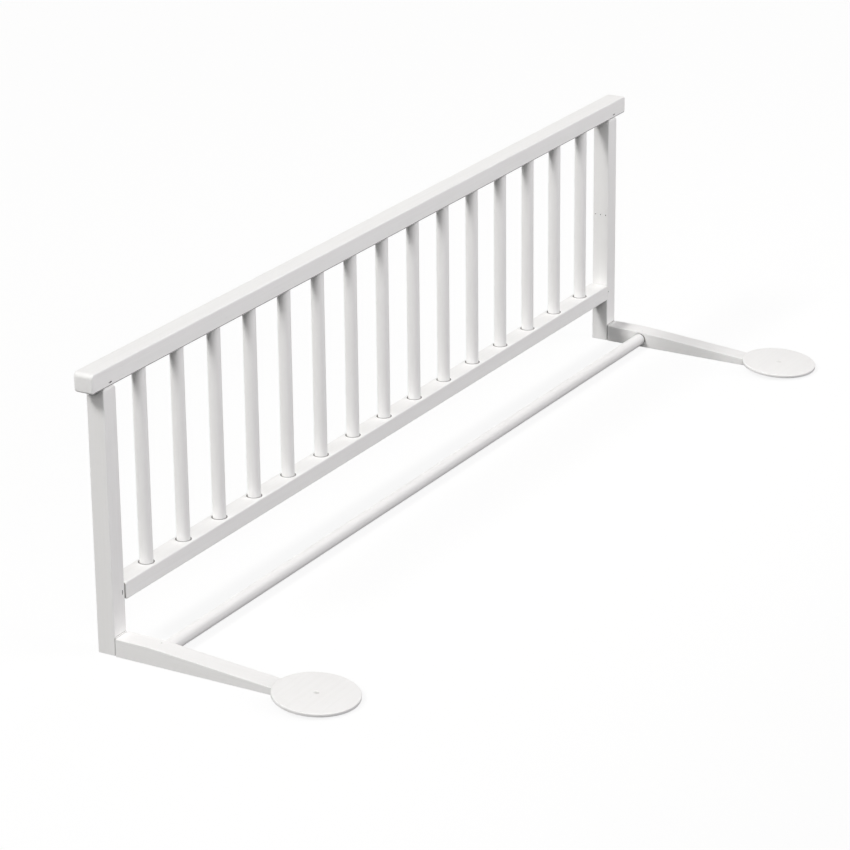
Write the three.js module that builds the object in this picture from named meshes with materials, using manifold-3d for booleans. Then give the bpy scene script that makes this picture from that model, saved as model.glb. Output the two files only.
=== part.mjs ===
// Folding bed guard rail: a spindle panel on a hinged U shaped foot frame.
// Units are millimetres. X runs along the rails, -Y points under the mattress, +Z is up.
// The front plane of the rails is Y = 0 until the finished assembly is centred on its box.
import * as THREE from 'three';
import { mergeVertices } from 'three/addons/utils/BufferGeometryUtils.js';
import Module from 'manifold-3d';

const wasm = await Module();
wasm.setup();

// Driving sizes of the panel
const railLength = 1206;
const railDepth = 25;
const railHeight = 21.8;
const railFrontEdgeRound = 1.6;
const railBackEdgeRound = 3;
const railEndFrontRound = 2;
const railEndBackRound = 5;
const railEndTopRound = 5;
const railEndBottomRound = 2.5;
const endCornerShare = 0.4;
const panelHeight = 326;
const postWidth = 22.5;
const postDepth = 22;
const postEdgeRound = 1.2;
const postShoulderRound = 6.5;
const postTopRound = 3.5;
const postFootRound = 0.5;
const railOverhang = 21;
const lowerRailBottom = 57;
const lowerRailHeight = 20.4;
const lowerRailEndRound = 3.5;
const lowerRailEdgeRound = 1.8;

// Driving sizes of the spindles and of the round joints
const spindleCount = 15;
const spindleEndSpace = 57.6;
const dowelRadius = 7.65;
const dowelChamfer = 0.8;
const spindleSocketDepth = 11;
const socketMouth = 1.5;
const tenonRadius = 6;
const tenonLength = 12;
const fitGap = 0.15;

// Driving sizes of the foot frame
const armWidth = 25;
const armHeight = 20.5;
const armEndRound = 1;
const armEdgeRound = 0.7;
const seamWidth = 1.4;
const taperStart = 42;
const taperBlend = 14;
const discCentreOut = 244;
const armHeightAtDisc = 4.95;
const armTail = 13;
const rodOut = 48;
const rodCover = 2.45;
const rodMouth = 0.4;
const rodSocketDepth = 14;
const discRadius = 47.4;
const discThickness = 4;
const discTopRound = 1.2;
const discFootRound = 0.6;

// Driving sizes of the butt hinges in the seams
const leafWidth = 18;
const leafThickness = 0.9;
const leafRecess = 0.3;
const leafLower = 3.5;
const hingeDrop = 0.35;
const knuckleRadius = 1.3;
const knuckleClearance = 0.15;
const pinRadius = 0.6;
const pinClearance = 0.08;
const pinHeadRadius = 0.95;
const pinHeadLength = 0.6;

// Driving sizes of the screws and brads
const leafScrewSpread = 5.5;
const leafScrewHead = 1.9;
const leafScrewShank = 1;
const leafScrewLength = 9;
const discScrewHead = 3.3;
const discScrewShank = 1.4;
const discScrewLength = 8;
const discScrewSink = 0.35;
const recessWidthShare = 0.28;
const recessSpanShare = 1.3;
const recessDepthShare = 0.26;
const bradHead = 1;
const bradHeadLength = 0.9;
const bradShank = 0.6;
const bradLength = 12;
const rodBradLength = 9;
const bradSink = 0.9;
const bradPointLength = 1.6;
const railBradRise = 4.5;
const postBradInset = 4;
const rodBradInset = 7.5;
const pilotClearance = 0.12;
const markRadius = 0.8;
const markDepth = 4;
const markSpread = 7.5;
const markHeight = 173.7;

// Numbers of facets
const roundFacets = 18;
const knuckleFacets = 12;
const smallFacets = 10;
const discFacets = 48;
const cornerSteps = 3;
const endSteps = 4;
const blendSteps = 5;
const mergeDistance = 0.0001;

// Positions that follow from the driving sizes
const railBottom = panelHeight - railHeight;
const panelMiddle = railDepth / 2;
const postFront = panelMiddle - postDepth / 2;
const postOuter = railLength / 2 - railOverhang;
const postMiddle = postOuter - postWidth / 2;
const postInner = postOuter - postWidth;
const spindlePitch = ((postInner - spindleEndSpace) * 2) / (spindleCount - 1);
const lowerRailTop = lowerRailBottom + lowerRailHeight;
const lowerRailMiddle = lowerRailBottom + lowerRailHeight / 2;
const armStart = postFront - seamWidth;
const armInner = postMiddle - armWidth / 2;
const rodHeight = armHeight / 2;
const rodSocketRadius = rodHeight - rodCover;
const rodRadius = rodSocketRadius - fitGap;
const slopeRise = (armHeight - armHeightAtDisc) / (discCentreOut - taperStart);
const slopeAngle = Math.atan(slopeRise);
const armEnd = -(discCentreOut + armTail);
const hingeY = postFront - seamWidth / 2;
const hingeZ = armHeight - hingeDrop;
const postLeafFront = postFront + leafRecess - leafThickness;
const armLeafFront = armStart - leafRecess + leafThickness;
const leafScrewZ = (leafLower + hingeZ - knuckleRadius) / 2;
const quarter = Math.PI / 2;

// Materials
const lacquer = { color: 0xf2f1ef, roughness: 0.42, metalness: 0 };
const steel = { color: 0xb9bcc0, roughness: 0.35, metalness: 1 };
const paintedSteel = { color: 0xeceae6, roughness: 0.4, metalness: 0 };

// Outline with its own radius at each corner: lower left, lower right, upper right, upper left
function roundedOutline(width, height, radii) {
  const signs = [[-1, -1], [1, -1], [1, 1], [-1, 1]];
  const points = [];
  signs.forEach(([sx, sy], index) => {
    const radius = radii[index];
    const cx = sx * (width / 2 - radius);
    const cy = sy * (height / 2 - radius);
    const start = Math.PI + index * quarter;
    for (let step = 0; step <= cornerSteps; step += 1) {
      const angle = start + (quarter * step) / cornerSteps;
      points.push([cx + radius * Math.cos(angle), cy + radius * Math.sin(angle)]);
    }
  });
  return points;
}

function fourTimes(value) {
  return [value, value, value, value];
}

// How far a rounded side has drawn in at a distance back from the end of the bar
function drawnIn(round, back) {
  return back < round ? round - Math.sqrt(round * round - (round - back) * (round - back)) : 0;
}

// Points of a bar's rounded end. The side roundings are left, right, lower, upper
function endPoints(width, height, corners, [left, right, lower, upper], reach, way) {
  const longest = Math.max(left, right, lower, upper);
  const points = [];
  for (let step = 0; step <= endSteps; step += 1) {
    const back = longest * (1 - Math.sin((quarter * step) / endSteps));
    const [l, r, d, u] = [left, right, lower, upper].map((round) => drawnIn(round, back));
    const insets = [Math.min(l, d), Math.min(r, d), Math.min(r, u), Math.min(l, u)];
    const radii = corners.map((corner, index) => corner + insets[index] * endCornerShare);
    roundedOutline(width - l - r, height - d - u, radii).forEach(([x, y]) => {
      points.push([x + (l - r) / 2, y + (d - u) / 2, way * (reach - back)]);
    });
  }
  return points;
}

// Wooden bar with rounded long edges and a rounding of its own on each side of each end
function roundedBar(width, height, length, corners, startRounds, endRounds, turn) {
  const start = endPoints(width, height, corners, startRounds, length / 2, -1);
  const end = endPoints(width, height, corners, endRounds, length / 2, 1);
  return wasm.Manifold.hull([...start, ...end].map(turn));
}

// Turns geometry whose axis is +Y so that the axis points another way
function orient(geometry, direction) {
  const turns = {
    y: () => geometry,
    '-y': () => geometry.rotateX(Math.PI),
    z: () => geometry.rotateX(quarter),
    '-z': () => geometry.rotateX(-quarter),
    x: () => geometry.rotateZ(-quarter),
    '-x': () => geometry.rotateZ(quarter),
  };
  return turns[direction]();
}

// Turned body from [radius, distance along the axis] pairs
function turned(profile, direction, facets) {
  const points = profile.map(([radius, along]) => new THREE.Vector2(radius, along));
  return orient(new THREE.LatheGeometry(points, facets), direction);
}

// Plain round bar that starts at the origin and runs along a direction
function roundBar(radius, length, direction, facets) {
  return turned([[0, 0], [radius, 0], [radius, length], [0, length]], direction, facets);
}

function signedVolume(positions, index) {
  const a = new THREE.Vector3();
  const b = new THREE.Vector3();
  const c = new THREE.Vector3();
  let volume = 0;
  for (let i = 0; i < index.length; i += 3) {
    a.fromArray(positions, index[i] * 3);
    b.fromArray(positions, index[i + 1] * 3);
    c.fromArray(positions, index[i + 2] * 3);
    volume += a.dot(b.cross(c));
  }
  return volume;
}

// Closed solid for joining and cutting
function solidOf(geometry) {
  const plain = geometry.clone();
  plain.deleteAttribute('normal');
  plain.deleteAttribute('uv');
  const merged = mergeVertices(plain, mergeDistance);
  const positions = merged.attributes.position.array;
  const source = merged.index.array;
  const index = [];
  for (let i = 0; i < source.length; i += 3) {
    const [a, b, c] = [source[i], source[i + 1], source[i + 2]];
    if (a !== b && b !== c && c !== a) {
      index.push(a, b, c);
    }
  }
  if (signedVolume(positions, index) < 0) {
    for (let i = 0; i < index.length; i += 3) {
      [index[i], index[i + 1]] = [index[i + 1], index[i]];
    }
  }
  const mesh = new wasm.Mesh({
    numProp: 3,
    vertProperties: Float32Array.from(positions),
    triVerts: Uint32Array.from(index),
  });
  return new wasm.Manifold(mesh);
}

function shape(base, added, removed) {
  let solid = base;
  added.forEach((geometry) => {
    solid = solid.add(solidOf(geometry));
  });
  removed.forEach((geometry) => {
    solid = solid.subtract(solidOf(geometry));
  });
  return solid;
}

function geometryOf(solid) {
  const mesh = solid.getMesh();
  const stride = mesh.numProp;
  const count = mesh.vertProperties.length / stride;
  const positions = new Float32Array(count * 3);
  for (let i = 0; i < count; i += 1) {
    positions.set(mesh.vertProperties.subarray(i * stride, i * stride + 3), i * 3);
  }
  const geometry = new THREE.BufferGeometry();
  geometry.setAttribute('position', new THREE.BufferAttribute(positions, 3));
  geometry.setIndex(Array.from(mesh.triVerts));
  geometry.computeVertexNormals();
  return geometry;
}

function piece(name, solid, finish) {
  const mesh = new THREE.Mesh(geometryOf(solid), new THREE.MeshStandardMaterial(finish));
  mesh.name = name;
  return mesh;
}

// Round socket that starts inside a face and opens through it with a chamfered mouth
function socket(radius, depth, mouth, direction) {
  const wide = radius + mouth;
  const clear = mouth + fitGap;
  return turned(
    [[0, -depth], [radius, -depth], [radius, -mouth], [wide, 0], [wide, clear], [0, clear]],
    direction,
    roundFacets,
  );
}

// Rail centred on the origin and running along X
function railBar(length, height, corners, endRounds) {
  const alongX = ([y, z, x]) => [x, y, z];
  return roundedBar(railDepth, height, length, corners, endRounds, endRounds, alongX);
}

// Post centred on the origin, with the top rounded over more than the foot
function postBar(height) {
  const topRounds = [postShoulderRound, postShoulderRound, postTopRound, postTopRound];
  const upright = (point) => point;
  const corners = fourTimes(postEdgeRound);
  return roundedBar(postWidth, postDepth, height, corners, fourTimes(postFootRound), topRounds, upright);
}

// Brads run along their direction from the sunk head at the origin
function bradProfile(length, grow) {
  return [
    [0, 0],
    [bradHead + grow, 0],
    [bradHead + grow, bradHeadLength],
    [bradShank + grow, bradHeadLength],
    [bradShank + grow, length - bradPointLength],
    [0, length],
  ];
}

function brad(length, direction) {
  return turned(bradProfile(length, 0), direction, smallFacets);
}

function bradHole(length, direction) {
  const deep = length + pilotClearance;
  const profile = bradProfile(deep, pilotClearance);
  profile[0][1] = -bradSink - pilotClearance;
  profile[1][1] = profile[0][1];
  profile[2][1] += pilotClearance;
  profile[3][1] += pilotClearance;
  return turned(profile, direction, smallFacets);
}

// Countersunk screws run along their direction from the top of the head at the origin
function screwProfile(head, shank, length, grow) {
  const cone = head - shank;
  return [
    [0, 0],
    [head + grow, 0],
    [shank + grow, cone],
    [shank + grow, length - shank * 2],
    [0, length],
  ];
}

function screw(head, shank, length) {
  const cross = head * recessSpanShare;
  const slot = head * recessWidthShare;
  const deep = head * recessDepthShare;
  const first = new THREE.BoxGeometry(cross, deep * 2, slot);
  const second = new THREE.BoxGeometry(slot, deep * 2, cross);
  const body = turned(screwProfile(head, shank, length, 0), 'y', knuckleFacets);
  return shape(solidOf(body), [], [first, second]);
}

function screwHole(head, shank, length, sink, direction) {
  const profile = screwProfile(head, shank, length + pilotClearance, pilotClearance);
  const lift = -sink - pilotClearance;
  profile.unshift([0, lift], [head + pilotClearance, lift]);
  profile.splice(2, 1);
  return turned(profile, direction, knuckleFacets);
}

// Places of the brads, given for the side the sign stands for
function railBradPlace(side) {
  return [side * postMiddle, bradSink, railBottom + railBradRise];
}

function postBradPlace(side) {
  return [side * (postInner + postBradInset), postFront + bradSink, lowerRailMiddle];
}

function rodBradPlace(side) {
  return [side * (armInner + rodBradInset), -rodOut, topOfArm(rodOut) - bradSink];
}

// Height of the arm's top at a distance out from the rails' front plane
function topOfArm(out) {
  const blendFrom = taperStart - taperBlend;
  const blendTo = taperStart + taperBlend;
  if (out <= blendFrom) {
    return armHeight;
  }
  if (out >= blendTo) {
    return armHeight - (out - taperStart) * slopeRise;
  }
  const share = (out - blendFrom) / (blendTo - blendFrom);
  return armHeight - share * share * taperBlend * slopeRise;
}

function topRail() {
  const removed = [];
  for (let index = 0; index < spindleCount; index += 1) {
    const mouth = socket(dowelRadius + fitGap, spindleSocketDepth, socketMouth, '-z');
    removed.push(mouth.translate(spindleX(index), panelMiddle, railBottom));
  }
  [-1, 1].forEach((side) => {
    const mouth = socket(tenonRadius + fitGap, tenonLength + fitGap, socketMouth, '-z');
    removed.push(mouth.translate(side * postMiddle, panelMiddle, railBottom));
    removed.push(bradHole(bradLength, 'y').translate(...railBradPlace(side)));
  });
  const corners = [railFrontEdgeRound, railBackEdgeRound, railBackEdgeRound, railFrontEdgeRound];
  const ends = [railEndFrontRound, railEndBackRound, railEndBottomRound, railEndTopRound];
  const bar = railBar(railLength, railHeight, corners, ends);
  const base = bar.translate([0, panelMiddle, panelHeight - railHeight / 2]);
  return shape(base, [], removed);
}

function lowerRail() {
  const halfLength = postInner - fitGap;
  const removed = [];
  const added = [];
  for (let index = 0; index < spindleCount; index += 1) {
    const mouth = socket(dowelRadius + fitGap, spindleSocketDepth, socketMouth, 'z');
    removed.push(mouth.translate(spindleX(index), panelMiddle, lowerRailTop));
  }
  [-1, 1].forEach((side) => {
    const root = lowerRailEndRound * 2;
    const tenon = roundBar(tenonRadius, root + tenonLength, side > 0 ? 'x' : '-x', roundFacets);
    added.push(tenon.translate(side * (halfLength - root), panelMiddle, lowerRailMiddle));
    removed.push(bradHole(bradLength, 'y').translate(...postBradPlace(side)));
  });
  const corners = fourTimes(lowerRailEdgeRound);
  const bar = railBar(halfLength * 2, lowerRailHeight, corners, fourTimes(lowerRailEndRound));
  return shape(bar.translate([0, panelMiddle, lowerRailMiddle]), added, removed);
}

function spindleX(index) {
  return (index - (spindleCount - 1) / 2) * spindlePitch;
}

function spindle() {
  const from = lowerRailTop - spindleSocketDepth + fitGap;
  const to = railBottom + spindleSocketDepth - fitGap;
  return solidOf(turned(dowelProfile(dowelRadius, from, to), 'z', roundFacets));
}

function dowelProfile(radius, from, to) {
  return [
    [0, from],
    [radius - dowelChamfer, from],
    [radius, from + dowelChamfer],
    [radius, to - dowelChamfer],
    [radius - dowelChamfer, to],
    [0, to],
  ];
}

// Sink for one hinge leaf in the wood, with the groove the knuckles turn in
function hingeSink(side, faceY, inward) {
  const height = hingeZ + knuckleRadius - leafLower + pilotClearance * 2;
  const depth = leafRecess + pilotClearance;
  const pocket = new THREE.BoxGeometry(leafWidth + pilotClearance * 2, depth * 2, height);
  const middleZ = (leafLower + hingeZ + knuckleRadius) / 2;
  pocket.translate(side * postMiddle, faceY, middleZ);
  const wide = leafWidth + (pinHeadLength + knuckleClearance) * 2;
  const groove = roundBar(knuckleRadius + knuckleClearance, wide, 'x', knuckleFacets);
  groove.translate(side * postMiddle - wide / 2, hingeY, hingeZ);
  const holes = [-1, 1].map((way) => {
    const hole = screwHole(leafScrewHead, leafScrewShank, leafScrewLength, leafThickness, inward);
    const headY = inward === 'y' ? postLeafFront : armLeafFront;
    return hole.translate(side * postMiddle + way * leafScrewSpread, headY, leafScrewZ);
  });
  return [pocket, groove, ...holes];
}

function post(side) {
  const height = railBottom - fitGap;
  const tenon = roundBar(tenonRadius, postShoulderRound + tenonLength, 'z', roundFacets);
  tenon.translate(side * postMiddle, panelMiddle, height - postShoulderRound);
  const inward = side > 0 ? '-x' : 'x';
  const mouth = socket(tenonRadius + fitGap, tenonLength + fitGap, 0, inward);
  mouth.translate(side * postInner, panelMiddle, lowerRailMiddle);
  const marks = [-1, 0, 1].map((way) => {
    const mark = roundBar(markRadius, markDepth * 2, 'x', smallFacets);
    return mark.translate(side * postInner - markDepth, panelMiddle + way * markSpread, markHeight);
  });
  const removed = [
    mouth,
    bradHole(bradLength, 'y').translate(...railBradPlace(side)),
    bradHole(bradLength, 'y').translate(...postBradPlace(side)),
    ...hingeSink(side, postFront, 'y'),
    ...marks,
  ];
  const bar = postBar(height).translate([side * postMiddle, panelMiddle, height / 2]);
  return shape(bar, [tenon], removed);
}

// Side view of an arm as [distance out, height] points: level by the post, then a long taper
function armOutline() {
  const near = -armStart;
  const far = -armEnd;
  const points = [];
  const corner = (out, height, start) => {
    for (let step = 0; step <= cornerSteps; step += 1) {
      const angle = start + (quarter * step) / cornerSteps;
      const x = out + armEndRound * Math.cos(angle);
      points.push(new THREE.Vector2(x, height + armEndRound * Math.sin(angle)));
    }
  };
  points.push(new THREE.Vector2(far, 0));
  points.push(new THREE.Vector2(far, topOfArm(far)));
  for (let step = blendSteps; step >= 0; step -= 1) {
    const out = taperStart - taperBlend + (taperBlend * 2 * step) / blendSteps;
    points.push(new THREE.Vector2(out, topOfArm(out)));
  }
  corner(near + armEndRound, armHeight - armEndRound, quarter);
  corner(near + armEndRound, armEndRound, quarter * 2);
  return points;
}

function arm(side) {
  const outline = new THREE.Shape(armOutline());
  const body = new THREE.ExtrudeGeometry(outline, {
    depth: armWidth - armEdgeRound * 2,
    bevelEnabled: true,
    bevelThickness: armEdgeRound,
    bevelSize: armEdgeRound,
    bevelOffset: -armEdgeRound,
    bevelSegments: cornerSteps - 1,
  });
  body.translate(0, 0, -(armWidth - armEdgeRound * 2) / 2).rotateX(quarter).rotateZ(-quarter);
  body.translate(side * postMiddle, 0, 0);
  const inward = side > 0 ? '-x' : 'x';
  const mouth = socket(rodSocketRadius, rodSocketDepth, rodMouth, inward);
  mouth.translate(side * armInner, -rodOut, rodHeight);
  const rodBrad = bradHole(rodBradLength, '-z').translate(...rodBradPlace(side));
  const discScrewHole = discScrewCut().rotateX(slopeAngle).translate(...discPlace(side));
  return shape(solidOf(body), [], [mouth, rodBrad, discScrewHole, ...hingeSink(side, armStart, '-y')]);
}

function crossRod() {
  const half = armInner + rodSocketDepth - fitGap;
  const bar = turned(dowelProfile(rodRadius, -half, half), 'x', roundFacets).translate(0, -rodOut, rodHeight);
  const holes = [-1, 1].map((side) => bradHole(rodBradLength, '-z').translate(...rodBradPlace(side)));
  return shape(solidOf(bar), [], holes);
}

// Point on the arm's sloping top under the middle of a disc
function discPlace(side) {
  return [side * postMiddle, -discCentreOut, armHeightAtDisc];
}

function discScrewCut() {
  const head = discThickness - discScrewSink;
  return screwHole(discScrewHead, discScrewShank, discScrewLength, discScrewSink, '-z').translate(0, 0, head);
}

// Round foot plate with an eased upper rim, standing on the origin
function disc() {
  const profile = [[0, 0], [discRadius - discFootRound, 0], [discRadius, discFootRound]];
  const top = discThickness - discTopRound;
  for (let step = 0; step <= cornerSteps; step += 1) {
    const angle = (quarter * step) / cornerSteps;
    const radius = discRadius - discTopRound + discTopRound * Math.cos(angle);
    profile.push([radius, top + discTopRound * Math.sin(angle)]);
  }
  profile.push([0, discThickness]);
  return shape(solidOf(turned(profile, 'z', discFacets)), [], [discScrewCut()]);
}

// Hinge leaf: a plate with either the two outer knuckles or the middle one
function hingeLeaf(side, ofPost) {
  const third = leafWidth / 3;
  const inward = ofPost ? 'y' : '-y';
  const headY = ofPost ? postLeafFront : armLeafFront;
  const plateHeight = hingeZ - leafLower;
  const plate = new THREE.BoxGeometry(leafWidth, leafThickness, plateHeight);
  const middleY = headY + (ofPost ? leafThickness : -leafThickness) / 2;
  plate.translate(side * postMiddle, middleY, leafLower + plateHeight / 2);
  const own = ofPost ? [-1, 1] : [0];
  const other = ofPost ? [0] : [-1, 1];
  const knuckleAt = (place, radius, length) => {
    const bar = roundBar(radius, length, 'x', knuckleFacets);
    return bar.translate(side * postMiddle + place * third - length / 2, hingeY, hingeZ);
  };
  const added = own.map((place) => knuckleAt(place, knuckleRadius, third - pinClearance));
  const bore = knuckleAt(0, pinRadius + pinClearance, leafWidth * 2);
  const openings = other.map((place) => {
    return knuckleAt(place, knuckleRadius + knuckleClearance, third + pinClearance);
  });
  const holes = [-1, 1].map((way) => {
    const hole = screwHole(leafScrewHead, leafScrewShank, leafScrewLength, 0, inward);
    return hole.translate(side * postMiddle + way * leafScrewSpread, headY, leafScrewZ);
  });
  return shape(solidOf(plate), added, [bore, ...openings, ...holes]);
}

function hingePin() {
  const half = leafWidth / 2 + pinClearance;
  const end = half + pinHeadLength;
  const profile = [
    [0, -end],
    [pinHeadRadius, -end],
    [pinHeadRadius, -half],
    [pinRadius, -half],
    [pinRadius, half],
    [pinHeadRadius, half],
    [pinHeadRadius, end],
    [0, end],
  ];
  return solidOf(turned(profile, 'x', knuckleFacets));
}

function place(mesh, position, turn) {
  mesh.position.set(...position);
  mesh.rotation.x = turn;
  return mesh;
}

const assembly = new THREE.Group();
assembly.name = 'bed_guard_rail';

assembly.add(piece('top_rail', topRail(), lacquer));
assembly.add(piece('lower_rail', lowerRail(), lacquer));
assembly.add(piece('cross_rod', crossRod(), lacquer));

const spindleSolid = spindle();
for (let index = 0; index < spindleCount; index += 1) {
  const label = String(index + 1).padStart(2, '0');
  assembly.add(place(piece(`spindle_${label}`, spindleSolid, lacquer), [spindleX(index), panelMiddle, 0], 0));
}

const discSolid = disc();
const discScrewSolid = screw(discScrewHead, discScrewShank, discScrewLength);
const leafScrewSolid = screw(leafScrewHead, leafScrewShank, leafScrewLength);
const pinSolid = hingePin();
const panelBrad = solidOf(brad(bradLength, 'y'));
const footBrad = solidOf(brad(rodBradLength, '-z'));
const discLift = discThickness + fitGap - discScrewSink;
const sides = [['left', -1], ['right', 1]];

sides.forEach(([word, side]) => {
  assembly.add(piece(`${word}_post`, post(side), lacquer));
  assembly.add(piece(`${word}_arm`, arm(side), lacquer));

  const [discX, discY, discZ] = discPlace(side);
  const raised = (rise) => [discX, discY - rise * Math.sin(slopeAngle), discZ + rise * Math.cos(slopeAngle)];
  assembly.add(place(piece(`${word}_disc`, discSolid, lacquer), raised(fitGap), slopeAngle));
  const screwTurn = slopeAngle - quarter;
  assembly.add(place(piece(`${word}_disc_screw`, discScrewSolid, paintedSteel), raised(discLift), screwTurn));

  assembly.add(piece(`${word}_post_leaf`, hingeLeaf(side, true), paintedSteel));
  assembly.add(piece(`${word}_arm_leaf`, hingeLeaf(side, false), paintedSteel));
  assembly.add(place(piece(`${word}_hinge_pin`, pinSolid, paintedSteel), [side * postMiddle, hingeY, hingeZ], 0));
  [-1, 1].forEach((way, index) => {
    const x = side * postMiddle + way * leafScrewSpread;
    const postScrew = piece(`${word}_post_leaf_screw_${index + 1}`, leafScrewSolid, paintedSteel);
    assembly.add(place(postScrew, [x, postLeafFront, leafScrewZ], 0));
    const armScrew = piece(`${word}_arm_leaf_screw_${index + 1}`, leafScrewSolid, paintedSteel);
    assembly.add(place(armScrew, [x, armLeafFront, leafScrewZ], Math.PI));
  });

  assembly.add(place(piece(`${word}_rail_brad`, panelBrad, steel), railBradPlace(side), 0));
  assembly.add(place(piece(`${word}_post_brad`, panelBrad, steel), postBradPlace(side), 0));
  assembly.add(place(piece(`${word}_rod_brad`, footBrad, steel), rodBradPlace(side), 0));
});

// Centre the finished assembly on its box, standing on Z = 0
const box = new THREE.Box3().setFromObject(assembly);
const centre = box.getCenter(new THREE.Vector3());
assembly.position.set(-centre.x, -centre.y, -box.min.z);

export default assembly;
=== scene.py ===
"""Looks of the folding bed guard rail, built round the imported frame. Metres, +Z up."""

import math

import bmesh
import bpy
from mathutils import Matrix, Vector
from mathutils.bvhtree import BVHTree


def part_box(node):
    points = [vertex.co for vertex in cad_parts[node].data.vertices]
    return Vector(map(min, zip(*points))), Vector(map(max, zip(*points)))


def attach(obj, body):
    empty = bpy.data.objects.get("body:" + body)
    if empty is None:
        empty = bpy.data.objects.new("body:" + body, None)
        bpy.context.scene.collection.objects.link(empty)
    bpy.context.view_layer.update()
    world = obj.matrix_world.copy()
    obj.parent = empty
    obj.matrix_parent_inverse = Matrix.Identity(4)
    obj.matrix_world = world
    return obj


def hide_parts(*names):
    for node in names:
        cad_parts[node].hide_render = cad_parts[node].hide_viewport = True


MM = 0.001

# Camera, worked out from the photograph
CAMERA_PLACE = Vector((-3.32657, -1.85710, 1.55989))
CAMERA_YAW = -1.04144
CAMERA_PITCH = -0.36768
CAMERA_ROLL = -0.01016
FOCAL_IN_FRAMES = 3474.47 / 850
CENTRE_SHIFT = (-0.0001, 0.0009)
SENSOR = 36.0
NEAR_CLIP = 0.05
FAR_CLIP = 200.0

# Lamps: name, degrees round from +X, degrees up, strength, degrees across, colour
WARM = (1.0, 0.992, 0.976)
PLAIN = (1.0, 0.998, 0.998)
COOL = (1.0, 0.978, 0.998)
LAMPS = (
    ("key", 151, 49, 2.06, 14, WARM),
    ("low_left", 168, 24, 0.32, 14, WARM),
    ("left_fill", 210, 36, 0.84, 40, PLAIN),
    ("front_fill", 290, 18, 1.28, 40, COOL),
    ("right_fill", 10, 3, 1.1, 6, PLAIN),
    ("back_fill", 84, 3, 1.1, 6, PLAIN),
)
LAMP_DISTANCE = 3.0

# Low fills for the far sides, which don't shine on the lacquer
NO_SHINE = ("right_fill", "back_fill")

# The uprights throw no shadow of the key on the rail, the rod and the far arm
CLEAR_OF_THE_KEY = ("spindles", "left_post_wood", "right_post_wood")

# Long soft boxes near the top rail: name, out from the middle, up, height aimed at, power
SOFT_BOXES = (
    ("front_soft_box", -0.5, 0.75, 0.6, 4.3),
    ("upper_soft_box", 0.35, 0.95, 0.3, 0.9),
)
SOFT_BOX_SIDES = (3.0, 0.4)
SOFT_BOX_AIM_OUT = 0.13

# Backdrop and floor
WHITE_LIGHT = (1.0, 1.0, 1.0, 1.0)
SKY_STRENGTH = 0.02
SEEN_STRENGTH = 1.0
FLOOR_SIZE = 60.0
FLOOR_DROP = 0.6 * MM
FLOOR_SEEN_WHITE = 0.96
FLOOR_BOUNCE_GREY = 0.08
FLOOR_GLOW_SHARE = 0.88

# Facets and shading
DOWEL_FACETS = 56
DISC_FACETS = 192
SMALL_FACETS = 32
SLOT_STEPS = 8
EDGE_STEPS = 5
SMOOTH_ANGLE = math.radians(32)
FLAT_ANGLE = math.radians(0.5)
MERGE_REACH = 0.002 * MM
FINE_REACH = 0.001 * MM
FLATS_WEIGHT = 100
UPWARD = 0.99

# Slots left by the driven brads: the piece, its brad, and the axis that the slot runs along
BRAD_SLOTS = (
    ("top_rail", "left_rail_brad", "X"),
    ("top_rail", "right_rail_brad", "X"),
    ("left_post", "left_post_brad", "Z"),
)
SLOT_LENGTH = 5.6 * MM
SLOT_WIDTH = 1.4 * MM
SLOT_DEPTH = 0.8 * MM

# Painted shade: dark lines in the joints, rings and seams, painted where no light gets in
JOINT_SHADE_MARK = "painted_joint_shade"
JOINT_DEPTH = 0.1 * MM
JOINT_LINE = 0.2 * MM
ROD_LINE = 1.5 * MM
END_LINE = 0.9 * MM
MARK_STEP = 0.05 * MM
RING_MARK = 0.55
SEAM_MARK = 0.75
RIM_WIDTH = 1.5 * MM
RIM_DEPTH = 0.6 * MM
PUTTY_REACH = 0.4 * MM

# Turned pieces
TURNED_RADIUS = "turned_radius"
TIP_RADIUS = 0.04 * MM
SHOULDER = 0.01 * MM
DOWEL_EASE = 0.8 * MM
ROD_HOLE_SHARE = 1.05

# Foot plates and their screws
DISC_TOP_EASE = 1.2 * MM
DISC_FOOT_EASE = 0.6 * MM
DISC_FOOT_BEND = DISC_FOOT_EASE * 0.3
DISC_THICKNESS = 4.0 * MM
DISC_SCREW_HEAD = 3.3 * MM
DISC_SCREW_SHANK = 1.4 * MM
DISC_SCREW_LENGTH = 8.0 * MM
DISC_SCREW_SINK = 0.35 * MM
SCREW_CLEARANCE = 0.12 * MM
SCREW_HOLE_RISE = DISC_SCREW_SINK * 3
RECESS_HALF = DISC_SCREW_HEAD * 0.62
RECESS_SLOT = DISC_SCREW_HEAD * 0.13
RECESS_DEPTH = DISC_SCREW_HEAD * 0.28
RECESS_TAPER = 0.7
RECESS_TURN = (0.8, 0.6, 0)

# Leaf screws and brads
LEAF_SCREW_HEAD = 1.9 * MM
LEAF_SCREW_SHANK = 1.0 * MM
BRAD_HEAD_LENGTH = 0.9 * MM
BRAD_HEAD_EASE = BRAD_HEAD_LENGTH * 0.25
BRAD_TOP_SHARE = 0.82
BRAD_SHANK = 0.6 * MM
BRAD_POINT = 1.6 * MM

# Colours
WHITE = (0.864, 0.859, 0.854)
WHITE_IN_THE_PORES = (0.793, 0.785, 0.777)
WHITE_OVER_EARLY_WOOD = (0.842, 0.836, 0.829)
# painted shade for the joint lines, sockets, holes and seams
PAINTED_JOINT_SHADE = (0.25, 0.246, 0.24)
WHITE_OVER_METAL = (0.79, 0.785, 0.775)
DUSTY_OVER_METAL = (0.68, 0.675, 0.665)
BRIGHT_STEEL = (0.46, 0.46, 0.47)
DULL_STEEL = (0.27, 0.26, 0.25)

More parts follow.
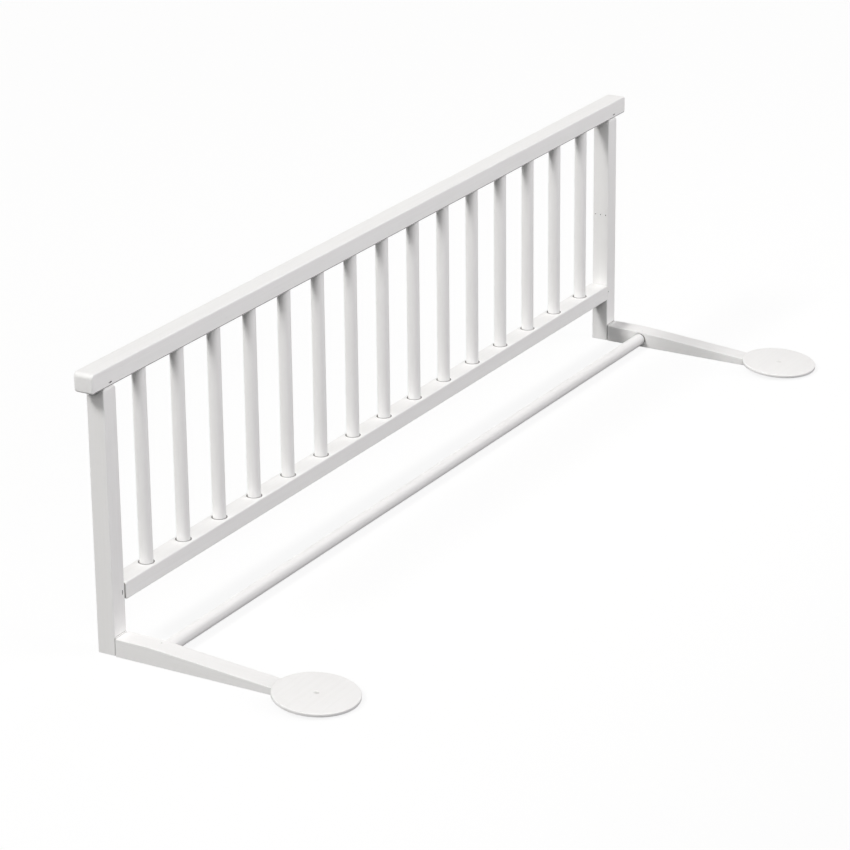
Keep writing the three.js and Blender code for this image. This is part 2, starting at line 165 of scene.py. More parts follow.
# Patterns: scale across the grain, scale along it, detail, roughness, distortion
WOOD_BANDS = (210, 5, 4, 0.55, 0.6)
WOOD_FIBRES = (900, 22, 5, 0.6, 0.2)
WOOD_PORES = (1500, 70, 2, 0.5, 0.1)
WOOD_FILM = (420, 420, 3, 0.5, 0.0)
WOOD_CLOUD = (9, 9, 2, 0.5, 0.0)
METAL_FILM = (700, 700, 3, 0.5, 0.0)
METAL_DUST = (150, 150, 4, 0.6, 0.3)
STEEL_LINES = (3000, 120, 3, 0.6, 0.0)
STEEL_SPOTS = (900, 900, 4, 0.6, 0.2)

# What a pattern gives: from its low and high value to these two
EARLY_WOOD_SHARE = (0.42, 0.64, 0.0, 0.8)
PORE_SHARE = (0.64, 0.74, 0.0, 0.75)
CLOUD_SHARE = (0.3, 0.7, 0.0, 0.35)
WOOD_ROUGHNESS = (0.3, 0.7, 0.6, 0.74)
DUST_SHARE = (0.35, 0.7, 0.0, 1.0)
METAL_ROUGHNESS = (0.3, 0.7, 0.55, 0.68)
DULL_SHARE = (0.4, 0.65, 0.0, 1.0)
STEEL_ROUGHNESS = (0.3, 0.7, 0.3, 0.55)

# Fine relief: strength and height
PORE_RELIEF = (0.35, 0.12 * MM)
FIBRE_RELIEF = (0.28, 0.22 * MM)
BAND_RELIEF = (0.25, 0.5 * MM)
FILM_RELIEF = (0.16, 0.3 * MM)
METAL_RELIEF = (0.2, 0.15 * MM)
STEEL_RELIEF = (0.2, 0.05 * MM)

LACQUER_IOR = 1.45
METAL_LACQUER_IOR = 1.5
SIDES = ("left", "right")

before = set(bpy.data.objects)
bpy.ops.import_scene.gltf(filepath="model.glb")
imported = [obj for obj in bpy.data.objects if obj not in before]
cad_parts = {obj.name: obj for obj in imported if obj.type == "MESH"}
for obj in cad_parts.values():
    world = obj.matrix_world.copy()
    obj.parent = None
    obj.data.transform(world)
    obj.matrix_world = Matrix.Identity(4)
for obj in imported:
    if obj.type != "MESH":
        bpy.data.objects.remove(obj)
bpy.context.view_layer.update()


# Meshes

def plain_object(name, data):
    """Object at the origin, unturned, linked to the scene."""
    made = bpy.data.objects.new(name, data)
    bpy.context.scene.collection.objects.link(made)
    return made


def size_of(node):
    """Low corner, high corner, middle and size of a node."""
    low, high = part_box(node)
    return low, high, (low + high) / 2, high - low


def smooth_by_angle(mesh):
    mesh.shade_smooth()
    mesh.set_sharp_from_angle(angle=SMOOTH_ANGLE)


def evaluated_mesh(source):
    """Plain mesh of an object with its modifiers applied."""
    bpy.context.view_layer.update()
    graph = bpy.context.evaluated_depsgraph_get()
    return bpy.data.meshes.new_from_object(source.evaluated_get(graph))


def placing(origin, along_row, along_axis):
    """Matrix that lays a row on its line, with its turned axis pointing a given way."""
    z = Vector(along_axis).normalized()
    x = Vector(along_row).normalized()
    y = z.cross(x).normalized()
    turn = Matrix((x, y, z)).transposed().to_4x4()
    return Matrix.Translation(origin) @ turn


def joined(meshes, name):
    """One mesh from several, each already in its place."""
    shell = bmesh.new()
    for mesh in meshes:
        shell.from_mesh(mesh)
    result = bpy.data.meshes.new(name)
    shell.to_mesh(result)
    shell.free()
    for material in meshes[0].materials:
        result.materials.append(material)
    smooth_by_angle(result)
    return result


def outward(mesh):
    """Closes the poles of a turned mesh and points its faces outwards."""
    shell = bmesh.new()
    shell.from_mesh(mesh)
    bmesh.ops.remove_doubles(shell, verts=shell.verts, dist=FINE_REACH)
    bmesh.ops.recalc_face_normals(shell, faces=shell.faces)
    shell.to_mesh(mesh)
    shell.free()


def cut(mesh, cutter):
    """Mesh with the cutter's space taken away."""
    body = plain_object("body", mesh)
    tool = plain_object("tool", cutter)
    taking = body.modifiers.new("cut", "BOOLEAN")
    taking.operation = "DIFFERENCE"
    taking.solver = "EXACT"
    taking.object = tool
    result = evaluated_mesh(body)
    bpy.data.objects.remove(body)
    bpy.data.objects.remove(tool)
    return result


def prism(rings):
    """Closed cutter between two rings of points."""
    shell = bmesh.new()
    first, last = [[shell.verts.new(point) for point in ring] for ring in rings]
    shell.faces.new(first)
    shell.faces.new(last)
    for i in range(len(first)):
        j = (i + 1) % len(first)
        shell.faces.new((first[i], first[j], last[j], last[i]))
    bmesh.ops.recalc_face_normals(shell, faces=shell.faces)
    mesh = bpy.data.meshes.new("cutter")
    shell.to_mesh(mesh)
    shell.free()
    return mesh


# Turned rows

def turned_row_tree():
    """Node tree that turns a profile line about its own axis and repeats it in a row."""
    tree = bpy.data.node_groups.new("turned_row", "GeometryNodeTree")
    face = tree.interface
    face.new_socket("Profile", in_out="INPUT", socket_type="NodeSocketGeometry")
    face.new_socket("Count", in_out="INPUT", socket_type="NodeSocketInt")
    face.new_socket("Pitch", in_out="INPUT", socket_type="NodeSocketFloat")
    face.new_socket("Facets", in_out="INPUT", socket_type="NodeSocketInt")
    face.new_socket("Finish", in_out="INPUT", socket_type="NodeSocketMaterial")
    face.new_socket("Row", in_out="OUTPUT", socket_type="NodeSocketGeometry")
    node = tree.nodes.new
    link = tree.links.new

    given = node("NodeGroupInput")
    result = node("NodeGroupOutput")

    line = node("GeometryNodeMeshToCurve")
    link(given.outputs["Profile"], line.inputs["Mesh"])
    radius = node("GeometryNodeInputNamedAttribute")
    radius.data_type = "FLOAT"
    radius.inputs["Name"].default_value = TURNED_RADIUS

    ring = node("GeometryNodeCurvePrimitiveCircle")
    ring.inputs["Radius"].default_value = 1.0
    link(given.outputs["Facets"], ring.inputs["Resolution"])
    body = node("GeometryNodeCurveToMesh")
    body.inputs["Fill Caps"].default_value = True
    link(line.outputs["Curve"], body.inputs["Curve"])
    link(radius.outputs["Attribute"], body.inputs["Scale"])
    link(ring.outputs["Curve"], body.inputs["Profile Curve"])

    step = node("ShaderNodeCombineXYZ")
    link(given.outputs["Pitch"], step.inputs["X"])
    places = node("GeometryNodeMeshLine")
    places.mode = "OFFSET"
    link(given.outputs["Count"], places.inputs["Count"])
    link(step.outputs["Vector"], places.inputs["Offset"])
    copies = node("GeometryNodeInstanceOnPoints")
    link(places.outputs["Mesh"], copies.inputs["Points"])
    link(body.outputs["Mesh"], copies.inputs["Instance"])

    real = node("GeometryNodeRealizeInstances")
    link(copies.outputs["Instances"], real.inputs["Geometry"])
    finish = node("GeometryNodeSetMaterial")
    link(real.outputs["Geometry"], finish.inputs["Geometry"])
    link(given.outputs["Finish"], finish.inputs["Material"])
    link(finish.outputs["Geometry"], result.inputs["Row"])
    return tree


TURNED_ROW = turned_row_tree()


def turned_row(profile, finish, facets, count=1, pitch=0.0):
    """Mesh of a row of turned pieces.

    Each point of the profile is a distance along the axis, a radius and, in a joint, its mark of
    painted shade.
    """
    line = bpy.data.meshes.new("profile")
    edges = [(i, i + 1) for i in range(len(profile) - 1)]
    line.from_pydata([(0, 0, point[0]) for point in profile], edges, [])
    radii = line.attributes.new(TURNED_RADIUS, "FLOAT", "POINT")
    radii.data.foreach_set("value", [point[1] for point in profile])
    marks = line.attributes.new(JOINT_SHADE_MARK, "FLOAT", "POINT")
    marks.data.foreach_set("value", [point[2] if len(point) > 2 else 0.0 for point in profile])
    source = plain_object("profile", line)
    turner = source.modifiers.new("turned_row", "NODES")
    turner.node_group = TURNED_ROW
    values = {"Count": count, "Pitch": pitch, "Facets": facets, "Finish": finish}
    for socket in TURNED_ROW.interface.items_tree:
        if socket.in_out == "INPUT" and socket.name in values:
            turner[socket.identifier] = values[socket.name]
    mesh = evaluated_mesh(source)
    bpy.data.objects.remove(source)
    for attribute in [a for a in mesh.attributes if a.name == TURNED_RADIUS]:
        mesh.attributes.remove(attribute)
    outward(mesh)
    return mesh


# Finishes

class Nodes:
    """Short way to add and join the nodes of one material or backdrop."""

    def __init__(self, owner):
        self.owner = owner
        owner.use_nodes = True
        self.tree = owner.node_tree
        self.tree.nodes.clear()

    def add(self, kind, settings=None, **links):
        made = self.tree.nodes.new(kind)
        for key, value in (settings or {}).items():
            if key in made.inputs:
                made.inputs[key].default_value = value
            else:
                setattr(made, key, value)
        for key, source in links.items():
            self.tree.links.new(source, made.inputs[key.replace("_", " ")])
        return made


def pattern(nodes, place, sizes, along="Y"):
    """Noise that is stretched along one axis."""
    across, lengthways, detail, roughness, distortion = sizes
    scale = tuple(lengthways if axis == along else across for axis in "XYZ")
    mapped = nodes.add("ShaderNodeMapping", {"Scale": scale}, Vector=place)
    settings = {"Scale": 1.0, "Detail": detail, "Roughness": roughness, "Distortion": distortion}
    noise = nodes.add("ShaderNodeTexNoise", settings, Vector=mapped.outputs["Vector"])
    return noise.outputs["Fac"]


def between(nodes, value, reach):
    """Value brought from one reach to another."""
    settings = dict(zip(("From Min", "From Max", "To Min", "To Max"), reach))
    return nodes.add("ShaderNodeMapRange", settings, Value=value).outputs["Result"]


def mixed_colour(nodes, factor, first, second):
    mix = nodes.add("ShaderNodeMix", {"data_type": "RGBA"})
    nodes.tree.links.new(factor, mix.inputs["Factor"])
    for index, colour in ((6, first), (7, second)):
        if isinstance(colour, tuple):
            mix.inputs[index].default_value = (*colour, 1.0)
        else:
            nodes.tree.links.new(colour, mix.inputs[index])
    return mix.outputs[2]


def mixed_shader(nodes, factor, first, second):
    mix = nodes.add("ShaderNodeMixShader")
    for index, source in enumerate((factor, first.outputs[0], second.outputs[0])):
        nodes.tree.links.new(source, mix.inputs[index])
    return mix.outputs[0]


def relief(nodes, sizes, height, under=None, sunk=False):
    """Normal of a fine relief, over another one where there is one."""
    strength, distance = sizes
    links = {"Height": height}
    if under is not None:
        links["Normal"] = under
    settings = {"Strength": strength, "Distance": distance, "invert": sunk}
    return nodes.add("ShaderNodeBump", settings, **links).outputs["Normal"]


def coated(nodes, settings, colour, roughness, normal):
    """Closes a material with its surface."""
    surface = nodes.add(
        "ShaderNodeBsdfPrincipled", settings, Base_Color=colour, Roughness=roughness, Normal=normal
    )
    nodes.add("ShaderNodeOutputMaterial", None, Surface=surface.outputs["BSDF"])
    return nodes.owner


def lacquered_wood(name, along):
    """Sprayed white lacquer over fine grained wood whose grain runs along X, Y or Z, with painted
    shade in its joints.
    """
    nodes = Nodes(bpy.data.materials.new(name))
    place = nodes.add("ShaderNodeTexCoord").outputs["Object"]
    bands, fibres, pores, film, cloud = (
        pattern(nodes, place, sizes, along)
        for sizes in (WOOD_BANDS, WOOD_FIBRES, WOOD_PORES, WOOD_FILM, WOOD_CLOUD)
    )

    early = between(nodes, bands, EARLY_WOOD_SHARE)
    deep = between(nodes, pores, PORE_SHARE)
    clouds = between(nodes, cloud, CLOUD_SHARE)
    # painted shade: faces marked in joints, sockets, holes and seams are darkened
    joint = nodes.add("ShaderNodeAttribute", {"attribute_name": JOINT_SHADE_MARK}).outputs["Fac"]
    colour = mixed_colour(nodes, early, WHITE, WHITE_OVER_EARLY_WOOD)
    colour = mixed_colour(nodes, deep, colour, WHITE_IN_THE_PORES)
    colour = mixed_colour(nodes, clouds, colour, WHITE_OVER_EARLY_WOOD)
    colour = mixed_colour(nodes, joint, colour, PAINTED_JOINT_SHADE)

    normal = relief(nodes, PORE_RELIEF, deep, sunk=True)
    normal = relief(nodes, FIBRE_RELIEF, fibres, normal)
    normal = relief(nodes, BAND_RELIEF, bands, normal)
    normal = relief(nodes, FILM_RELIEF, film, normal)
    roughness = between(nodes, fibres, WOOD_ROUGHNESS)
    return coated(nodes, {"Metallic": 0.0, "IOR": LACQUER_IOR}, colour, roughness, normal)


def lacquered_metal(name):
    """White lacquer over small metal parts, a little thicker and smoother than on the wood."""
    nodes = Nodes(bpy.data.materials.new(name))
    place = nodes.add("ShaderNodeTexCoord").outputs["Object"]
    film = pattern(nodes, place, METAL_FILM)
    dust = between(nodes, pattern(nodes, place, METAL_DUST), DUST_SHARE)
    colour = mixed_colour(nodes, dust, WHITE_OVER_METAL, DUSTY_OVER_METAL)
    roughness = between(nodes, film, METAL_ROUGHNESS)
    normal = relief(nodes, METAL_RELIEF, film)
    return coated(nodes, {"Metallic": 0.0, "IOR": METAL_LACQUER_IOR}, colour, roughness, normal)


def drawn_steel(name):
    """Drawn wire steel of the brads, with fine lines along its length and dull spots."""
    nodes = Nodes(bpy.data.materials.new(name))
    place = nodes.add("ShaderNodeTexCoord").outputs["Object"]
    lines = pattern(nodes, place, STEEL_LINES)
    spots = pattern(nodes, place, STEEL_SPOTS)
    colour = mixed_colour(nodes, between(nodes, spots, DULL_SHARE), BRIGHT_STEEL, DULL_STEEL)
    roughness = between(nodes, spots, STEEL_ROUGHNESS)
    return coated(nodes, {"Metallic": 1.0}, colour, roughness, relief(nodes, STEEL_RELIEF, lines))


GRAIN_ALONG_X = lacquered_wood("white_lacquer_grain_x", "X")
GRAIN_ALONG_Y = lacquered_wood("white_lacquer_grain_y", "Y")
GRAIN_ALONG_Z = lacquered_wood("white_lacquer_grain_z", "Z")
PAINTED_METAL = lacquered_metal("white_lacquered_metal")
STEEL = drawn_steel("brad_steel")


# Copies of the CAD solids, with brad slots, rims and painted shade along the joint lines

def slot_cutter(place, along):
    """Short slot with round ends, cut from a front face at Y = place.y inwards."""
    end = SLOT_WIDTH / 2
    straight = SLOT_LENGTH / 2 - end
    outline = []
    for way in (1, -1):
        for step in range(SLOT_STEPS + 1):
            angle = math.pi * step / SLOT_STEPS
            lengthways = way * (straight + end * math.sin(angle))
            across = way * end * math.cos(angle)
            outline.append((lengthways, across) if along == "X" else (across, lengthways))
    return prism([
        [(place.x + x, y, place.z + z) for x, z in outline]
        for y in (place.y - SLOT_DEPTH, place.y + SLOT_DEPTH)
    ])


def brad_slots(node):
    """Cutters for the slots that the driven brads left in the front of a rail or a post."""
    cutters = []
    for cut_node, brad, along in BRAD_SLOTS:
        if node == cut_node:
            middle = size_of(brad)[2]
            front = Vector((middle.x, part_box(node)[0].y, middle.z))
            cutters.append(slot_cutter(front, along))
    return cutters


def rod_rims(node):
    """Cutter for the narrow rim round the rod, sunk in the inner face of an arm."""
    cutters = []
    if node.endswith("_arm"):
        _, _, middle, size = size_of("cross_rod")
        low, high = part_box(node)
        inner, outwards = (high.x, 1) if high.x < 0 else (low.x, -1)
        radius = max(size.y, size.z) / 2 + RIM_WIDTH
        cutter = turned_row([(-RIM_DEPTH, radius), (RIM_DEPTH, radius)], None, DOWEL_FACETS)
        cutter.transform(placing((inner, middle.y, middle.z), (0, 1, 0), (outwards, 0, 0)))
        cutters.append(cutter)
    return cutters


def always(_place):
    return True


def never(_place):
    return 0.0


def beside(node):
    """Test for a place in or just beside a small node, such as in the hole round a brad."""
    low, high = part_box(node)

    def test(place):
        return all(low[i] - PUTTY_REACH < place[i] < high[i] + PUTTY_REACH for i in range(3))

    return test


def depth_in_the_bar(mesh, of_the_bar):
    """How far the middle of each face lies inside the plain bar that the piece was cut from."""
    bar = bmesh.new()
    for vertex in mesh.vertices:
        if of_the_bar(vertex.co):
            bar.verts.new(vertex.co)
    bmesh.ops.convex_hull(bar, input=bar.verts)
    skin = BVHTree.FromBMesh(bar)
    depths = [skin.find_nearest(face.center)[3] for face in mesh.polygons]
    bar.free()
    return depths


def paint_joint_shade(mesh, of_the_bar, touches, puttied):
    """Marks the faces in sockets, sinks and holes, and those that meet the next piece, with painted
    shade.
    """
    marks = mesh.attributes.new(JOINT_SHADE_MARK, "FLOAT", "FACE")
    for face, depth in zip(mesh.polygons, depth_in_the_bar(mesh, of_the_bar)):
        mark = 1.0 if depth > JOINT_DEPTH else touches(face.center)
        marks.data[face.index].value = 0.0 if puttied(face.center) else mark


def clean_copy(node, name, of_the_bar=always, touches=never, puttied=never, line_at=None):
    """Merged copy of a CAD node, with its rounded edges shaded smooth and its flats kept flat.

    line_at is a height at which its faces are divided, so that one part of a face can be marked
    with painted shade.
    """
    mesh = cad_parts[node].data.copy()
    mesh.materials.clear()
    shell = bmesh.new()
    shell.from_mesh(mesh)
    bmesh.ops.remove_doubles(shell, verts=shell.verts, dist=MERGE_REACH)
    bmesh.ops.dissolve_limit(
        shell, angle_limit=FLAT_ANGLE, verts=shell.verts, edges=shell.edges
    )
    if line_at is not None:
        parts = shell.verts[:] + shell.edges[:] + shell.faces[:]
        bmesh.ops.bisect_plane(
            shell, geom=parts, dist=FINE_REACH, plane_co=(0, 0, line_at), plane_no=(0, 0, 1)
        )
    shell.to_mesh(mesh)
    shell.free()
    for cutter in brad_slots(node) + rod_rims(node):
        mesh = cut(mesh, cutter)
    paint_joint_shade(mesh, of_the_bar, touches, puttied)
    smooth_by_angle(mesh)
    made = plain_object(name, mesh)
    weighted = made.modifiers.new("flats", "WEIGHTED_NORMAL")
    weighted.keep_sharp = True
    weighted.weight = FLATS_WEIGHT
    return made


# Pieces

def finished(piece, body, stands_for, material=None):
    """Gives a piece its finish where one is given, hides what it stands for and sets it on its
    body.
    """
    if material is not None:
        piece.data.materials.clear()
        piece.data.materials.append(material)
    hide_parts(*stands_for)
    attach(piece, body)
    return piece


def make_bars():
    """Rails, posts and arms from their CAD solids, with smooth edges."""
    inner_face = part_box("right_post")[0].x
    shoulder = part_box("top_rail")[0].z
    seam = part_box("left_arm")[1].y
    post_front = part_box("left_post")[0].y
    behind_arm_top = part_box("left_arm")[1].z - JOINT_LINE

    # painted shade: the lower rail's ends at the posts, the arms' ends in the seam and the posts'
    # fronts behind the arms are darkened
    def between_the_posts(place):
        return abs(place.x) < inner_face

    def meets_a_post(place):
        return 1.0 if inner_face - abs(place.x) < END_LINE else 0.0

    def under_the_rail(place):
        return place.z < shoulder

    def in_the_seam(place):
        return SEAM_MARK if seam - place.y < JOINT_DEPTH else 0.0

    def behind_the_arm(place):
        in_front = place.y - post_front < JOINT_DEPTH
        return SEAM_MARK if in_front and place.z < behind_arm_top else 0.0

    rail = ("panel", GRAIN_ALONG_X)
    post = ("panel", GRAIN_ALONG_Z, under_the_rail, behind_the_arm)
    arm = ("foot_frame", GRAIN_ALONG_Y, always, in_the_seam)
    bars = (
        ("top_rail", *rail, always, never, never, None),
        ("lower_rail", *rail, between_the_posts, meets_a_post, never, None),
        ("left_post", *post, never, behind_arm_top),
        ("right_post", *post, beside("right_post_brad"), behind_arm_top),
        ("left_arm", *arm, beside("left_rod_brad"), None),
        ("right_arm", *arm, beside("right_rod_brad"), None),
    )
    for node, body, material, of_the_bar, touches, puttied, line_at in bars:
        piece = clean_copy(node, f"{node}_wood", of_the_bar, touches, puttied, line_at)
        finished(piece, body, [node], material)


def make_hinges():
    leaves_and_pin = (("post_leaf", "panel"), ("hinge_pin", "panel"), ("arm_leaf", "foot_frame"))
    for side in SIDES:
        for word, body in leaves_and_pin:
            node = f"{side}_{word}"
            finished(clean_copy(node, f"{node}_metal"), body, [node], PAINTED_METAL)


def dowel_profile(radius, length, from_start, from_end, mark):
    """Sawn round bar with eased ends, with painted shade up to a distance from each end, where it
    sits in a joint.
    """
    return [
        (0, radius - DOWEL_EASE, mark),
        (DOWEL_EASE, radius, mark),
        (from_start, radius, mark),
        (from_start + MARK_STEP, radius, 0),
        (length - from_end - MARK_STEP, radius, 0),
        (length - from_end, radius, mark),
        (length - DOWEL_EASE, radius, mark),
        (length, radius - DOWEL_EASE, mark),
    ]


def make_spindles():
    names = sorted(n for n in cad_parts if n.startswith("spindle_"))
    low, high, middle, size = size_of(names[0])
    pitch = (size_of(names[-1])[2].x - middle.x) / (len(names) - 1)
    radius = max(size.x, size.y) / 2
    in_lower_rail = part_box("lower_rail")[1].z - low.z + JOINT_LINE
    in_top_rail = high.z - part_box("top_rail")[0].z + JOINT_LINE
    # painted shade ring where each spindle enters a rail
    profile = dowel_profile(radius, size.z, in_lower_rail, in_top_rail, RING_MARK)
    row = turned_row(profile, GRAIN_ALONG_Z, DOWEL_FACETS, len(names), pitch)
    row.transform(placing((middle.x, middle.y, low.z), (1, 0, 0), (0, 0, 1)))
    finished(plain_object("spindles", joined([row], "spindles")), "panel", names)


def make_cross_rod():
    """The rod keeps its brad holes, so the holes are cut from the turned bar."""
    low, _, middle, size = size_of("cross_rod")
    in_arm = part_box("left_arm")[1].x - low.x + ROD_LINE
    # painted shade ring where the rod enters each arm
    profile = dowel_profile(max(size.y, size.z) / 2, size.x, in_arm, in_arm, 1)
    bar = turned_row(profile, GRAIN_ALONG_X, DOWEL_FACETS)
    bar.transform(placing((low.x, middle.y, middle.z), (0, 1, 0), (1, 0, 0)))
    for side in SIDES:
        _, brad_top, brad_middle, brad_size = size_of(f"{side}_rod_brad")
        radius = max(brad_size.x, brad_size.y) / 2
        hole = [(0, radius), (brad_size.z * ROD_HOLE_SHARE, radius)]
        cutter = turned_row(hole, GRAIN_ALONG_X, SMALL_FACETS)
        cutter.transform(placing((brad_middle.x, brad_middle.y, brad_top.z), (1, 0, 0), (0, 0, -1)))
        bar = cut(bar, cutter)
    piece = plain_object("turned_cross_rod", joined([bar], "cross_rod"))
    finished(piece, "foot_frame", ["cross_rod"])


def facing_up(node):
    """Normal and middle of the large flat top of a sloping plate."""
    normal = Vector((0, 0, 0))
    middle = Vector((0, 0, 0))
    total = 0.0
    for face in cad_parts[node].data.polygons:
        if face.normal.z > UPWARD:
            normal += face.normal * face.area
            middle += face.center * face.area
            total += face.area
    return normal.normalized(), middle / total


def disc_profile(radius):
    """Foot plate from its underside to its eased top edge."""
    points = [
        (0, radius - DISC_FOOT_EASE),
        (DISC_FOOT_BEND, radius - DISC_FOOT_BEND),
        (DISC_FOOT_EASE, radius),
    ]
    for step in range(EDGE_STEPS + 1):
        angle = math.pi / 2 * step / EDGE_STEPS
        along = DISC_THICKNESS - DISC_TOP_EASE + DISC_TOP_EASE * math.sin(angle)
        points.append((along, radius - DISC_TOP_EASE + DISC_TOP_EASE * math.cos(angle)))
    return points


def screw_profile(head, shank, length, grow=0.0):
    """Countersunk screw from the top of its head to its tip."""
    cone = head - shank
    return [
        (0, head + grow),
        (cone, shank + grow),
        (length - shank * 2, shank + grow),
        (length, TIP_RADIUS + grow),
    ]


def bar_cutter(half_x, half_y):
    """Short bar with tapered sides, for one arm of a driver recess."""
    corners = ((-1, -1), (1, -1), (1, 1), (-1, 1))
    return prism([
        [(x * half_x * share, y * half_y * share, z) for x, y in corners]
        for z, share in ((-RECESS_DEPTH, 1.0), (RECESS_DEPTH, RECESS_TAPER))
    ])


def make_discs():
    """Foot plates, each with a countersunk screw in its middle."""
    screw_sizes = (DISC_SCREW_HEAD, DISC_SCREW_SHANK, DISC_SCREW_LENGTH)
    hole = [(-SCREW_HOLE_RISE, DISC_SCREW_HEAD + SCREW_CLEARANCE)]
    hole += screw_profile(*screw_sizes, SCREW_CLEARANCE)
    screws = []
    for side in SIDES:
        normal, top = facing_up(f"{side}_disc")
        size = size_of(f"{side}_disc")[3]
        plate = turned_row(disc_profile(size.x / 2), GRAIN_ALONG_X, DISC_FACETS)
        plate.transform(placing(top - normal * DISC_THICKNESS, (1, 0, 0), normal))
        head_top = top - normal * DISC_SCREW_SINK
        cutter = turned_row(hole, GRAIN_ALONG_X, SMALL_FACETS)
        cutter.transform(placing(head_top, (1, 0, 0), -normal))
        plate = cut(plate, cutter)
        piece = plain_object(f"{side}_plate", joined([plate], f"{side}_plate"))
        finished(piece, "foot_frame", [f"{side}_disc"])

        screw = turned_row(screw_profile(*screw_sizes), PAINTED_METAL, SMALL_FACETS)
        for half_x, half_y in ((RECESS_HALF, RECESS_SLOT), (RECESS_SLOT, RECESS_HALF)):
            screw = cut(screw, bar_cutter(half_x, half_y))
        screw.transform(placing(head_top, RECESS_TURN, -normal))
        screws.append(screw)
    piece = plain_object("plate_screws", joined(screws, "plate_screws"))
    finished(piece, "foot_frame", ["left_disc_screw", "right_disc_screw"])


def make_leaf_screws():
    """Rows of two screws in each hinge leaf."""
    for word, body, inward in (("post", "panel", 1), ("arm", "foot_frame", -1)):
        rows = []
        names = []
        for side in SIDES:
            pair = [f"{side}_{word}_leaf_screw_{index}" for index in (1, 2)]
            low, high, middle, size = size_of(pair[0])
            pitch = size_of(pair[1])[2].x - middle.x
            profile = screw_profile(LEAF_SCREW_HEAD, LEAF_SCREW_SHANK, size.y)
            row = turned_row(profile, PAINTED_METAL, SMALL_FACETS, 2, pitch)
            head = (middle.x, low.y if inward > 0 else high.y, middle.z)
            row.transform(placing(head, (1, 0, 0), (0, inward, 0)))
            rows.append(row)
            names += pair
        label = f"{word}_leaf_screws"
        finished(plain_object(label, joined(rows, label)), body, names)


def brad_profile(head, length):
    """Brad from the top of its head to its point."""
    return [
        (0, head * BRAD_TOP_SHARE),
        (BRAD_HEAD_EASE, head),
        (BRAD_HEAD_LENGTH, head),
        (BRAD_HEAD_LENGTH + SHOULDER, BRAD_SHANK),
        (length - BRAD_POINT, BRAD_SHANK),
        (length, TIP_RADIUS),
    ]


def make_brads():
    groups = (
        ("panel_brads", "panel", ("rail_brad", "post_brad"), Vector((0, 1, 0))),
        ("rod_brads", "foot_frame", ("rod_brad",), Vector((0, 0, -1))),
    )
    for label, body, kinds, inward in groups:
        meshes = []
        names = [f"{side}_{kind}" for side in SIDES for kind in kinds]
        for name in names:
            middle, size = size_of(name)[2:]
            width, length = sorted(size)[1:]
            head = middle - inward * (length / 2)
            row = turned_row(brad_profile(width / 2, length), STEEL, SMALL_FACETS)
            row.transform(placing(head, (1, 0, 0), inward))
            meshes.append(row)
        finished(plain_object(label, joined(meshes, label)), body, names)


# Stage

def floor_material():
    """Pale floor. The camera sees it nearly white, and it keeps the object's shadow."""
    nodes = Nodes(bpy.data.materials.new("pale_floor"))
    path = nodes.add("ShaderNodeLightPath")
    seen = path.outputs["Is Camera Ray"]
    for way in ("Is Glossy Ray", "Is Transmission Ray"):
        most = nodes.add("ShaderNodeMath", {"operation": "MAXIMUM"})
        nodes.tree.links.new(seen, most.inputs[0])
        nodes.tree.links.new(path.outputs[way], most.inputs[1])
        seen = most.outputs[0]
    share = nodes.add("ShaderNodeMath", {"operation": "MULTIPLY"})
    nodes.tree.links.new(seen, share.inputs[0])
    share.inputs[1].default_value = FLOOR_GLOW_SHARE
    colour = mixed_colour(nodes, seen, (FLOOR_BOUNCE_GREY,) * 3, (FLOOR_SEEN_WHITE,) * 3)
    matt = nodes.add("ShaderNodeBsdfDiffuse", None, Color=colour)
    glow = nodes.add("ShaderNodeEmission", {"Color": WHITE_LIGHT, "Strength": SEEN_STRENGTH})
    surface = mixed_shader(nodes, share.outputs[0], matt, glow)
    nodes.add("ShaderNodeOutputMaterial", None, Surface=surface)
    return nodes.owner


def make_floor():
    half = FLOOR_SIZE / 2
    corners = [(-half, -half), (half, -half), (half, half), (-half, half)]
    mesh = bpy.data.meshes.new("floor")
    mesh.from_pydata([(x, y, -FLOOR_DROP) for x, y in corners], [], [(0, 1, 2, 3)])
    mesh.materials.append(floor_material())
    plain_object("floor", mesh)


def make_backdrop():
    """The camera sees white, and hardly any light comes from it."""
    nodes = Nodes(bpy.data.worlds.new("studio"))
    seen = nodes.add("ShaderNodeLightPath").outputs["Is Camera Ray"]
    dim, white = (
        nodes.add("ShaderNodeBackground", {"Color": WHITE_LIGHT, "Strength": strength})
        for strength in (SKY_STRENGTH, SEEN_STRENGTH)
    )
    nodes.add("ShaderNodeOutputWorld", None, Surface=mixed_shader(nodes, seen, dim, white))
    bpy.context.scene.world = nodes.owner


def set_light(name, light, place, away):
    """Light at a place, shining the opposite way of a direction."""
    lamp = plain_object(name, light)
    lamp.location = place
    lamp.rotation_mode = "QUATERNION"
    lamp.rotation_quaternion = away.to_track_quat("Z", "Y")
    return lamp


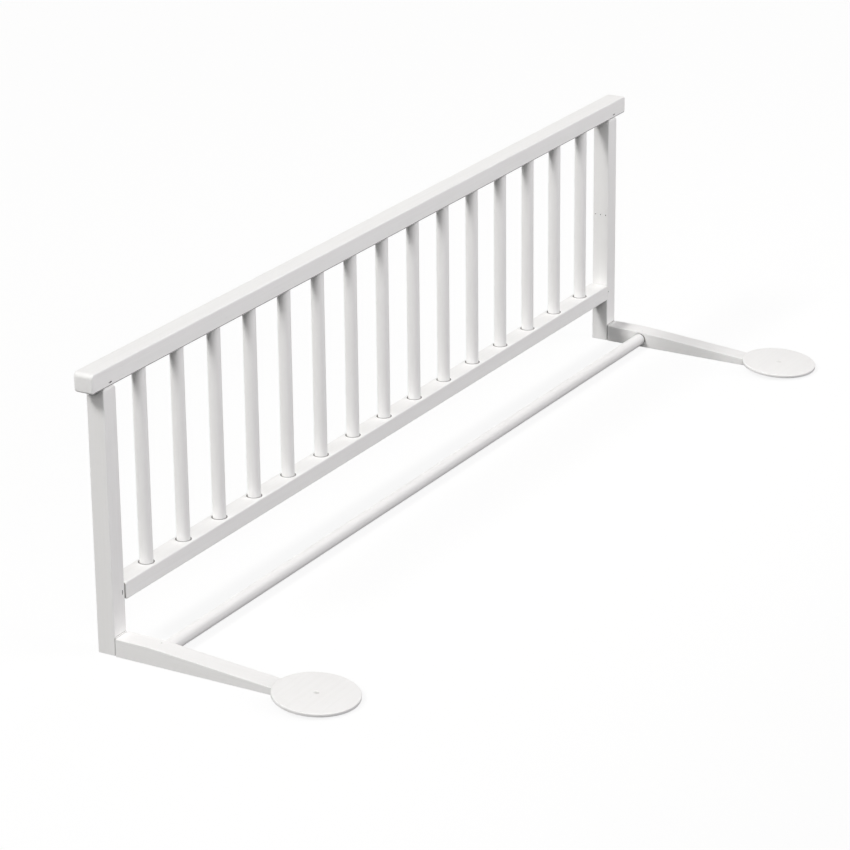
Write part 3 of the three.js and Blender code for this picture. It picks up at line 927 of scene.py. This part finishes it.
def make_lamps():
    for name, round_from_x, up, strength, across, colour in LAMPS:
        turn, rise = math.radians(round_from_x), math.radians(up)
        level = math.cos(rise)
        towards = Vector((math.cos(turn) * level, math.sin(turn) * level, math.sin(rise)))
        sun = bpy.data.lights.new(name, "SUN")
        sun.energy = strength
        sun.angle = math.radians(across)
        sun.color = colour
        lamp = set_light(name, sun, towards * LAMP_DISTANCE, towards)
        lamp.visible_glossy = name not in NO_SHINE

    uprights = bpy.data.collections.new("clear_of_the_key")
    for name in CLEAR_OF_THE_KEY:
        uprights.objects.link(bpy.data.objects[name])
    for entry in uprights.collection_objects:
        entry.light_linking.link_state = "EXCLUDE"
    bpy.data.objects["key"].light_linking.blocker_collection = uprights


def make_soft_boxes():
    for name, out, up, aim_up, power in SOFT_BOXES:
        soft = bpy.data.lights.new(name, "AREA")
        soft.shape = "RECTANGLE"
        soft.size, soft.size_y = SOFT_BOX_SIDES
        soft.energy = power
        place = Vector((0.0, out, up))
        aim = Vector((0.0, SOFT_BOX_AIM_OUT, aim_up))
        set_light(name, soft, place, place - aim)


def make_camera():
    ahead = Vector((
        -math.sin(CAMERA_YAW) * math.cos(CAMERA_PITCH),
        math.cos(CAMERA_YAW) * math.cos(CAMERA_PITCH),
        math.sin(CAMERA_PITCH),
    ))
    level = ahead.cross(Vector((0, 0, 1))).normalized()
    up = level.cross(ahead)
    turn, tilt = math.cos(CAMERA_ROLL), math.sin(CAMERA_ROLL)
    right = level * turn + up * tilt
    above = up * turn - level * tilt
    lens = bpy.data.cameras.new("camera")
    lens.sensor_fit = "HORIZONTAL"
    lens.sensor_width = SENSOR
    lens.lens = SENSOR * FOCAL_IN_FRAMES
    lens.shift_x, lens.shift_y = CENTRE_SHIFT
    lens.clip_start = NEAR_CLIP
    lens.clip_end = FAR_CLIP
    camera = plain_object("camera", lens)
    place = Matrix((right, above, -ahead)).transposed().to_4x4()
    place.translation = CAMERA_PLACE
    camera.matrix_world = place
    bpy.context.scene.camera = camera


make_bars()
make_hinges()
make_spindles()
make_cross_rod()
make_discs()
make_leaf_screws()
make_brads()
make_floor()
make_backdrop()
make_lamps()
make_soft_boxes()
make_camera()
bpy.context.scene.view_settings.view_transform = "Standard"

bpy.context.view_layer.update()
